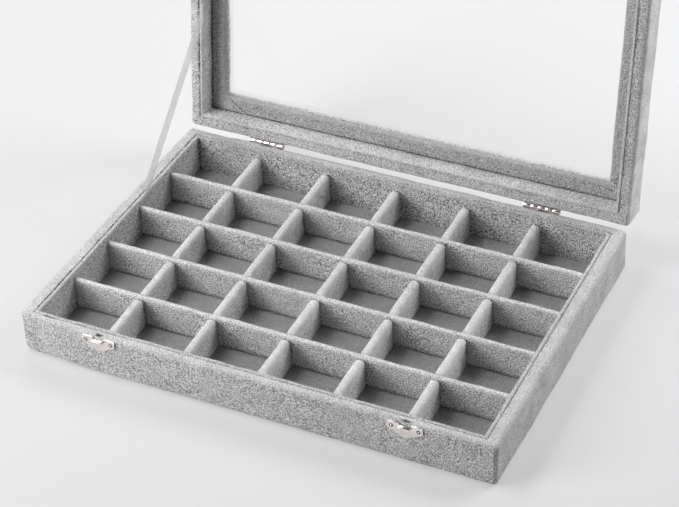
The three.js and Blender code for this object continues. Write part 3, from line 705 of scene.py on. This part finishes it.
def slab(name, node, material, swell, seed):
    """Covered board: a grid over its top and underside, with soft edges."""
    low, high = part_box(node)
    half = (high.z - low.z) / 2
    profile = []
    for part in range(ROUND_STEPS + 1):
        angle = -math.pi / 2 + math.pi * part / ROUND_STEPS
        profile.append((BOARD_EDGE * (1 - math.cos(angle)), (low.z + high.z) / 2 + half * math.sin(angle)))
    count_x = math.ceil((high.x - low.x) / BOARD_STEP)
    count_y = math.ceil((high.y - low.y) / BOARD_STEP)

    def border(inset):
        xs = np.linspace(low.x + inset, high.x - inset, count_x + 1)
        ys = np.linspace(low.y + inset, high.y - inset, count_y + 1)
        ring = [(x, ys[0]) for x in xs[:-1]] + [(xs[-1], y) for y in ys[:-1]]
        ring += [(x, ys[-1]) for x in xs[:0:-1]] + [(xs[0], y) for y in ys[:0:-1]]
        return ring, xs, ys

    def key(x, y):
        return round(x, 7), round(y, 7)

    points, faces = [], []
    for inset, z in profile:
        points += [(x, y, z) for x, y in border(inset)[0]]
    around = 2 * (count_x + count_y)
    for here in range(0, ROUND_STEPS * around, around):
        above = here + around
        for index in range(around):
            after = (index + 1) % around
            faces.append((here + index, here + after, above + after, above + index))
    for layer in (0, ROUND_STEPS):
        inset, z = profile[layer]
        ring, xs, ys = border(inset)
        places = {key(x, y): layer * around + index for index, (x, y) in enumerate(ring)}
        grid = np.zeros((count_y + 1, count_x + 1), int)
        for row, y in enumerate(ys):
            for column, x in enumerate(xs):
                if key(x, y) in places:
                    grid[row, column] = places[key(x, y)]
                else:
                    grid[row, column] = len(points)
                    points.append((x, y, z))
        quads = np.stack((grid[:-1, :-1], grid[:-1, 1:], grid[1:, 1:], grid[1:, :-1]), 2)
        for face in quads.reshape(-1, 4).tolist():
            faces.append(tuple(face) if layer else tuple(face[::-1]))
    points = np.array(points)
    faces = outward(points, faces)
    top = smoothstep(points[:, 2], low.z + half, high.z)
    points[:, 2] += top * swell * wobble(points, 24 * MM, seed)
    made = piece(name, points, faces, material, "base", 60)
    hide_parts(node)


# Dividers

def column_middle(number, y):
    """Where the cross divider stands at a depth of the box."""
    low, high = column_boxes[number - 1]
    front, back = COLUMN_SKEWS[number - 1]
    return (low.x + high.x) / 2 + front + (back - front) * (y - low.y) / (high.y - low.y)


def board_ring(bottom, top, half_at, pinch, crown, square=1.0):
    """Section of a divider as (offset, height): a round top, flatter for a smaller square, sides that
    may lean, a soft foot."""
    crown_base = top - crown * half_at(top)
    half_foot = half_at(bottom) * pinch
    rise = crown_base - bottom - FOOT_ROUND
    heights = [bottom + FOOT_ROUND + rise * step / SIDE_STEPS for step in range(SIDE_STEPS)]
    ring = [(-half_foot + FOOT_ROUND, bottom), (0.0, bottom), (half_foot - FOOT_ROUND, bottom)]
    ring += [(half_at(z) * pinch, z) for z in heights]
    for step in range(CROWN_STEPS + 1):
        angle = math.pi * step / CROWN_STEPS
        cosine = math.copysign(abs(math.cos(angle)) ** square, math.cos(angle))
        ring.append((half_at(crown_base) * pinch * cosine,
                     crown_base + (top - crown_base) * math.sin(angle) ** square))
    ring += [(-half_at(z) * pinch, z) for z in reversed(heights)]
    return ring


def end_pinch(distance, reach, least):
    """Thickness share near an end where the velvet is folded over."""
    share = np.clip(distance / reach, 0, 1)
    return least + (1 - least) * math.sqrt(max(0.0, 1 - (1 - share) ** 2))


def stretch_places(start, end, fine_steps, reach):
    """Places from start to end, closer together near both ends."""
    near = [start + reach * (1 - math.cos(math.pi / 2 * part / fine_steps)) for part in range(fine_steps)]
    far = [end - (place - start) for place in reversed(near)]
    count = max(1, math.ceil((end - start - 2 * reach) / FABRIC_STEP))
    middle = [start + reach + (end - start - 2 * reach) * part / count for part in range(count + 1)]
    return near + middle + far


def row_divider(number, low, high):
    """Long divider: unbroken top, slots that rise from the foot."""
    middle = (low.y + high.y) / 2
    edges = [low.x]
    for column in range(1, len(column_boxes) + 1):
        centre = column_middle(column, middle)
        edges += [centre - column_foot_half - LAP_CLEAR, centre + column_foot_half + LAP_CLEAR]
    edges.append(high.x)

    def half_at(_):
        return row_half

    rings = []
    for index, (start, end) in enumerate(zip(edges, edges[1:])):
        in_slot = index % 2 == 1
        bottom = lap_height + LAP_CLEAR / 2 if in_slot else divider_foot
        for place in stretch_places(start, end, 3, 0.8 * MM):
            distance = min(place - low.x, high.x - place)
            pinch = end_pinch(distance, 1.2 * MM, 0.4)
            drop = (1 - end_pinch(distance, 1.6 * MM, 0.0)) * MM
            ring = board_ring(bottom, row_top - drop, half_at, pinch, crown=0.95)
            rings.append([(place, middle + offset, z) for offset, z in ring])
    points, faces = loft(rings)
    height = points[:, 2]
    showing = smoothstep(height, divider_foot, divider_foot + 5 * MM)
    showing *= smoothstep(np.minimum(points[:, 0] - low.x, high.x - points[:, 0]), 0, 4 * MM)
    points = soften(points, faces, ROW_SWELLS, showing, seed=40 + number)
    crest = smoothstep(height, row_top - 5 * MM, row_top)
    points[:, 2] += crest * 0.12 * MM * wobble(points, 28 * MM, seed=60 + number)
    # Painted highlight along the crest, painted shade along the foot
    rim = smoothstep(height, row_top - 3 * MM, row_top - 0.5 * MM)
    foot_shade = 1 - smoothstep(height, divider_foot + 0.3 * MM, divider_foot + 1.3 * MM)
    made = piece(f"row_board_{number}", points, faces, insert_velvet, "base", 50,
                 {"rim": rim, "painted_shade": foot_shade})
    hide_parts(f"row_divider_{number}")


def column_divider(number, low, high):
    """Cross divider: a wedge with a tab between each two long ones, each tab folded at its shoulders."""
    crown_height = column_top - COLUMN_TOP_HALF
    lean = (COLUMN_WIDE_HALF - COLUMN_TOP_HALF) / (crown_height - divider_foot)
    slot_half = row_half + LAP_CLEAR
    slot_top = lap_height - LAP_CLEAR / 2
    edges = [low.y]
    for row_low, row_high in row_boxes:
        centre = (row_low.y + row_high.y) / 2
        edges += [centre - slot_half, centre + slot_half]
    edges.append(high.y)

    def half_at(z):
        return COLUMN_TOP_HALF + max(0.0, crown_height - z) * lean

    rings = []

    def add_ring(place, top, pinch, crown, square):
        middle = column_middle(number, place)
        ring = board_ring(divider_foot, top, half_at, pinch, crown, square)
        rings.append([(middle + offset, place, z) for offset, z in ring])

    for index, (start, end) in enumerate(zip(edges, edges[1:])):
        if index % 2 == 1:
            for place in (start, (start + end) / 2, end):
                add_ring(place, slot_top, COLUMN_SLOT_PINCH, crown=0.3, square=1.0)
            continue
        for place in stretch_places(start, end, 7, COLUMN_SHOULDER):
            distance = min(place - start, end - place)
            top = column_top - COLUMN_SHOULDER * (1 - end_pinch(distance, COLUMN_SHOULDER, 0.0))
            add_ring(place, top, end_pinch(distance, 2.2 * MM, 0.5), crown=0.95, square=0.8)
    points, faces = loft(rings)
    height = points[:, 2]
    showing = smoothstep(height, divider_foot, divider_foot + 5 * MM)
    points = soften(points, faces, COLUMN_SWELLS, showing, seed=80 + number)
    # Painted highlight over the crown, painted light on the upper right side, more on some dividers, and
    # painted shade along the foot
    rim = smoothstep(height, column_top - 7 * MM, column_top - 0.5 * MM)
    brushed_and_lit = smoothstep(height, divider_foot + 12 * MM, column_top - 7 * MM) * COLUMN_BRUSHED_AND_LIT[number - 1]
    brushed_and_lit *= smoothstep(vertex_normals(points, faces)[:, 0], 0.1, 0.6)
    foot_shade = 1 - smoothstep(height, divider_foot + 0.2 * MM, divider_foot + 2.2 * MM)
    made = piece(f"column_board_{number}", points, faces, smooth_velvet, "base", 50,
                 {"rim": rim, "brushed_and_lit": brushed_and_lit, "painted_shade": foot_shade * 0.6})
    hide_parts(f"column_divider_{number}")


# Lid covers, modelled shut and turned open

def lid_cover():
    """Velvet round the lid's walls and over the rails that hold the glass."""
    wall_box = closed_box("lid_left_wall")
    top_box = closed_box("lid_top_rail_left")
    wall, flange = wall_box[1].x + half_x, top_box[1].x + half_x
    bottom, shelf, top = wall_box[0].z, top_box[0].z, top_box[1].z
    section = rounded_section([
        (0, bottom, 2.8 * MM), (0, top, 3.8 * MM), (flange, top, 1.9 * MM),
        (flange, shelf, 0.5 * MM), (wall, shelf, 0), (wall, bottom, 0.8 * MM)])
    points, faces, inset, height = swept_frame(section, CORNER_ROUND, WINDOW_ROUND)
    hidden = (inset > wall - 0.9 * MM) * (height < shelf + 0.6 * MM)
    points = soften(points, faces, LID_SWELLS, np.where(hidden, 0.0, 1.0), seed=121)
    points[:, 2] = np.maximum(points[:, 2], bottom - RIM_SWELL)
    # Painted highlight along the lower rim, painted shade in dots along the seam's groove, more on some
    # sides, and painted light on the right side
    rim = 1 - smoothstep(height, bottom + 0.5 * MM, bottom + 3.5 * MM)
    rim *= 1 - smoothstep(inset, 0.7 * wall, wall)
    in_seam = smoothstep(inset, wall - 1.6 * MM, wall - 0.4 * MM) * (height < bottom + 3 * MM)
    dotted_seam_shade = np.clip(0.5 + 0.6 * wobble(points, 3.5 * MM, seed=125), 0.1, 1.0)
    dotted_seam_shade *= by_side(points, front=0.6, right=0.8, back=0.15, left=1.4)
    brushed_and_lit = brushed_side(points, faces) * 1.5
    made = piece("lid_cover", opened(points), faces, outer_velvet, "lid", 60,
                 {"rim": rim * 0.4, "painted_shade": in_seam * dotted_seam_shade, "brushed_and_lit": brushed_and_lit})
    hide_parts(*side_nodes("lid_{}_wall"), *side_nodes("lid_top_rail_{}"))


def lid_lining():
    """Thin covered boards inside the lid's walls."""
    outer, inner = lid_liner[0].x + half_x, lid_liner[1].x + half_x
    bottom, top = lid_liner[0].z, lid_liner[1].z - 0.7 * MM
    section = rounded_section([
        (outer, bottom, 0.5 * MM), (outer, top, 0.2 * MM),
        (inner, top, 0.2 * MM), (inner, bottom, 1.0 * MM)])
    points, faces, inset, height = swept_frame(section, TIGHT_ROUND, TIGHT_ROUND)
    showing = smoothstep(inset, outer + 0.3 * MM, inner - 0.3 * MM)
    points = soften(points, faces, LINING_SWELLS, showing, seed=141)
    crest = 1 - smoothstep(height, bottom, bottom + 2 * MM)
    points[:, 2] -= crest * LINING_CREST * wobble(points, 30 * MM, seed=144)
    # Painted highlight along the lining's open edge, painted light on the left lining's inner face
    rim = 1 - smoothstep(height, bottom + 0.3 * MM, bottom + 2.2 * MM)
    made = piece("lid_lining", opened(points), faces, outer_velvet, "lid", 60,
                 {"rim": rim, "brushed_and_lit": brushed_liner(points, faces)})
    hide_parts(*side_nodes("lid_liner_{}"))


def window_rails():
    """Inner rails round the glass, covered in one piece."""
    outer, inner = lid_rail[0].x + half_x, lid_rail[1].x + half_x
    bottom, top = lid_rail[0].z, lid_rail[1].z
    section = rounded_section([
        (outer, bottom, 0.2 * MM), (outer, top, 0.2 * MM),
        (inner, top, 0.8 * MM), (inner, bottom, 2.0 * MM)], FABRIC_STEP / 2)
    points, faces, inset, height = swept_frame(section, TIGHT_ROUND, WINDOW_ROUND)
    showing = smoothstep(inset, outer + 0.6 * MM, outer + 3 * MM)
    showing *= 1 - smoothstep(height, bottom + 2 * MM, top - 1 * MM)
    points = soften(points, faces, RAIL_SWELLS, showing, seed=161)
    # Painted highlight along the inner edge by the glass, painted shade beside the lining
    rim = smoothstep(inset, inner - 4.0 * MM, inner - 1.0 * MM)
    lining_edge = lid_liner[1].x + half_x
    painted_shade = 1 - smoothstep(inset, lining_edge - 0.1 * MM, lining_edge + 1.0 * MM)
    made = piece("window_rails", opened(points), faces, rail_velvet, "lid", 60,
                 {"rim": rim, "painted_shade": painted_shade})
    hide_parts(*side_nodes("lid_window_rail_{}"))


def rail_fold(name, sign, shift, reach, flip):
    """Edge of the velvet where one rail's cover laps over the next, at a window corner by the hinges:
    the right one for sign 1, the left one for -1. With the lid shut and seen from above, the lap's
    edge, a small step that casts its own shadow and is darkened further with painted shade, is on
    the left of its run, or on the right for flip -1."""
    inner, bottom = lid_rail[1].x + half_x, lid_rail[0].z
    edge_x, edge_y = half_x - inner, half_y - inner
    start = np.array((sign * edge_x, edge_y)) + shift
    run = np.array(reach, float)
    length = np.linalg.norm(run)
    ahead = run / length
    aside = np.array((-ahead[1], ahead[0])) * flip
    rings, painted_shade = [], []
    for station in range(LAP_STATIONS + 1):
        along = length * station / LAP_STATIONS
        thin = end_pinch(min(along, length - along), 1.2 * MM, 0.15)
        ring = []
        for across, rise in LAP_PROFILE:
            spot = start + ahead * along + aside * across * MM
            from_edge = max(sign * spot[0] - edge_x, spot[1] - edge_y, 0.0)
            flat = max(0.0, RAIL_EDGE_ROUND - from_edge)
            rounding = RAIL_EDGE_ROUND - math.sqrt(max(0.0, RAIL_EDGE_ROUND ** 2 - flat ** 2))
            ring.append((spot[0], spot[1], bottom + rounding + rise * thin * MM))
            # Painted shade along one side of the lap
            painted_shade.append(1.3 if across > 0 else 0.0)
        rings.append(ring)
    points, faces = loft(rings)
    painted_shade = np.array(painted_shade + [0.0, 0.0])
    piece(name, opened(points), faces, rail_velvet, "lid", 40, {"painted_shade": painted_shade})


# Metal fittings

def dressed_copy(name, node, bevel, body, material=bright_nickel):
    """A fitting's own shape with flat faces joined and edges softened."""
    mesh = frame["nodes"][node].data.copy()
    mesh.materials.clear()
    work = bmesh.new()
    work.from_mesh(mesh)
    bmesh.ops.remove_doubles(work, verts=work.verts, dist=0.002 * MM)
    bmesh.ops.dissolve_limit(work, angle_limit=math.radians(1.5), verts=work.verts, edges=work.edges)
    sharp = [edge for edge in work.edges if len(edge.link_faces) == 2
             and edge.calc_face_angle(0) > math.radians(35)]
    bmesh.ops.bevel(work, geom=sharp, offset=bevel, segments=2, profile=0.6, affect="EDGES",
                    clamp_overlap=True)
    work.to_mesh(mesh)
    work.free()
    mesh.name = name
    mesh.shade_smooth()
    mesh.set_sharp_from_angle(angle=math.radians(40))
    mesh.materials.append(material)
    made = placed(name, mesh)
    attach(made, body)
    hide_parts(node)


def turned_heads(name, centres, radius, profile, material):
    """Small turned forms that stand out to the front. The profile holds (share of the radius, rise)."""
    points, faces = [], []
    normal = Vector((0, -1, 0))
    side = normal.orthogonal().normalized()
    other = normal.cross(side)
    for centre in centres:
        first = len(points)
        for share, rise in profile:
            for step in range(HEAD_STEPS):
                angle = 2 * math.pi * step / HEAD_STEPS
                offset = (side * math.cos(angle) + other * math.sin(angle)) * radius * share
                points.append(Vector(centre) + offset + normal * radius * rise)
        for row in range(len(profile) - 1):
            here = first + row * HEAD_STEPS
            above = here + HEAD_STEPS
            for step in range(HEAD_STEPS):
                after = (step + 1) % HEAD_STEPS
                faces.append((here + step, here + after, above + after, above + step))
        points.append(Vector(centre) + normal * radius * profile[-1][1])
        top = first + (len(profile) - 1) * HEAD_STEPS
        for step in range(HEAD_STEPS):
            faces.append((top + step, top + (step + 1) % HEAD_STEPS, len(points) - 1))
        faces.append(tuple(first + step for step in range(HEAD_STEPS))[::-1])
    piece(name, points, faces, material, "base")


def fittings():
    for side in ("left", "right"):
        dressed_copy(f"keeper_{side}", f"latch_{side}_keeper", METAL_BEVEL, "base")
        dressed_copy(f"hinge_base_leaf_{side}", f"hinge_{side}_base_leaf", METAL_BEVEL, "base")
        dressed_copy(f"hinge_rod_{side}", f"hinge_{side}_pin", METAL_BEVEL, "base", dark_nickel)
        dressed_copy(f"hinge_lid_leaf_{side}", f"hinge_{side}_lid_leaf", METAL_BEVEL, "lid")
        dressed_copy(f"clasp_plate_{side}", f"latch_{side}_plate", METAL_BEVEL, "lid")
        dressed_copy(f"clasp_rod_{side}", f"latch_{side}_pin", METAL_BEVEL / 2, "lid")
        dressed_copy(f"clasp_hasp_{side}", f"latch_{side}_hasp", METAL_BEVEL, f"{side}_hasp")
        low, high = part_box(f"latch_{side}_keeper")
        middle = (low.x + high.x) / 2
        centres = [(middle + shift * NAIL_SPREAD, -half_y - KEEPER_PLATE, high.z - NAIL_DROP)
                   for shift in (-1, 1)]
        turned_heads(f"keeper_nails_{side}", centres, NAIL_RADIUS, NAIL_DOME, bright_nickel)
        # Dark cups round the nails: painted shade round each nail hole
        turned_heads(f"keeper_nail_shade_rings_{side}", centres, CUP_RADIUS, NAIL_CUP, dark_nickel)


def glass():
    pane = frame["nodes"]["glass_pane"]
    pane.data.materials.clear()
    pane.data.materials.append(window_glass)


# Ribbon stay

def ribbon():
    """Satin strip from the rim's seam to the lid's recess, gathered where it enters the seam."""
    low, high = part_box("ribbon_stay")
    points_cad = node_points("ribbon_stay")
    foot = Vector(points_cad[points_cad[:, 2] < low.z + 5 * MM].mean(0))
    head = Vector(points_cad[points_cad[:, 2] > high.z - 9 * MM].mean(0))
    run = head - foot
    length = run.length
    forward = run.normalized()
    face = Vector((-1, 0, 0))
    sideways = face.cross(forward).normalized()
    width, foot_width, taper, thickness = 10 * MM, 9 * MM, 8 * MM, 0.4 * MM
    lean_in, drift, pleat_depth, belly_depth = 1.4 * MM, 0.6 * MM, 0.35 * MM, 0.25 * MM
    stations, across = 90, 10
    rings, rim = [], []
    for station in range(stations + 1):
        along = length * station / stations
        share = smoothstep(along, 0, taper)
        half = (foot_width + (width - foot_width) * share) / 2
        centre = foot + forward * along
        centre.x = foot.x + lean_in * share + drift * along / length
        ring = []
        for side in (1, -1):
            for step in range(across + 1):
                part = (step / across * 2 - 1) * side
                pleat = (1 - share) * pleat_depth * math.sin(part * 3.2 * math.pi)
                belly = belly_depth * (1 - part * part) * share
                position = centre + sideways * half * part + face * (side * thickness / 2 + pleat + belly)
                ring.append(tuple(position))
                rim.append(float(abs(part) > 0.8))
        rings.append(ring)
    points, faces = loft(rings)
    rim = np.array(rim + [0.0, 0.0])
    made = piece("satin_stay", points, faces, ribbon_satin, None, 60, {"rim": rim})
    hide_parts("ribbon_stay")
    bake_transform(made)


# Stage

def add_floor():
    tree = Tree(bpy.data.materials.new("plain_floor"))
    place = tree.place()
    behind = tree.add("ShaderNodeVectorMath", {0: place, 1: FLOOR_GLOW_WAY}, "Value", "DOT_PRODUCT")
    away = tree.add("ShaderNodeVectorMath", {0: place}, "Value", "LENGTH")
    glow = tree.calculate("MAXIMUM", tree.spread(behind, FLOOR_GLOW_FROM_TO, FLOOR_GLOW),
                          tree.spread(away, FAR_GLOW_FROM_TO, FAR_GLOW))
    material = tree.shade({
        "Base Color": (*FLOOR_COLOUR, 1.0),
        "Roughness": 0.9,
        "Specular IOR Level": 0.1,
        "Emission Color": (1.0, 1.0, 1.0, 1.0),
        "Emission Strength": tree.times(tree.plain_rays(), glow)})
    mesh = bpy.data.meshes.new("floor")
    corners = [(x * FLOOR_REACH, y * FLOOR_REACH, 0) for x, y in ((-1, -1), (1, -1), (1, 1), (-1, 1))]
    mesh.from_pydata(corners, [], [(0, 1, 2, 3)])
    mesh.materials.append(material)
    floor = placed("floor", mesh)


def add_sky():
    tree = Tree(bpy.data.worlds.new("studio"), "Background")
    height = tree.add("ShaderNodeSeparateXYZ", {"Vector": tree.place("Generated")}, "Z")
    seen = tree.times(tree.plain_rays(), tree.spread(height, SKY_FROM_TO, SKY_SEEN))
    bpy.context.scene.world = tree.shade({
        "Color": (0.99, 0.99, 1.0, 1.0),
        "Strength": tree.calculate("MAXIMUM", seen, WORLD_LIGHT)})


def add_lamps():
    for name, place, size, power in SOFTBOXES:
        lamp = bpy.data.lights.new(name, "AREA")
        lamp.shape = "SQUARE"
        lamp.size = size
        lamp.energy = power
        soft = placed(name, lamp)
        soft.location = place
        soft.rotation_euler = Vector(place).to_track_quat("Z", "Y").to_euler()


def add_camera():
    data = bpy.data.cameras.new("camera")
    data.sensor_width = SENSOR_WIDTH
    data.lens = CAMERA_LENS
    data.clip_end = 100
    back = Vector((math.sin(CAMERA_AZIMUTH) * math.cos(CAMERA_ELEVATION),
                   -math.cos(CAMERA_AZIMUTH) * math.cos(CAMERA_ELEVATION),
                   math.sin(CAMERA_ELEVATION)))
    right = (-back).cross(Vector((0, 0, 1))).normalized()
    up = right.cross(-back)
    turned_right = right * math.cos(CAMERA_ROLL) + up * math.sin(CAMERA_ROLL)
    turned_up = up * math.cos(CAMERA_ROLL) - right * math.sin(CAMERA_ROLL)
    turn = Matrix((turned_right, turned_up, back)).transposed()
    made = placed("camera", data)
    made.matrix_world = Matrix.Translation(CAMERA_PLACE) @ turn.to_4x4()
    bpy.context.scene.camera = made


add_camera()
add_floor()
add_sky()
add_lamps()
base_cover()
base_lining()
slab("base_underside", "base_floor_board", outer_velvet, swell=0.0, seed=31)
slab("compartment_floor", "insert_floor_pad", pad_velvet, swell=0.12 * MM, seed=32)
for number, (low, high) in enumerate(row_boxes, 1):
    row_divider(number, low, high)
for number, (low, high) in enumerate(column_boxes, 1):
    column_divider(number, low, high)
lid_cover()
lid_lining()
window_rails()
rail_fold("rail_seam_left", -1, (2.8 * MM, 0.6 * MM), (16.3 * MM, 11.6 * MM), -1)
rail_fold("rail_fold_right", 1, (1.9 * MM, -3.4 * MM), (4.6 * MM, -3.6 * MM), 1)
glass()
fittings()
ribbon()

bpy.context.scene.view_settings.view_transform = "Standard"
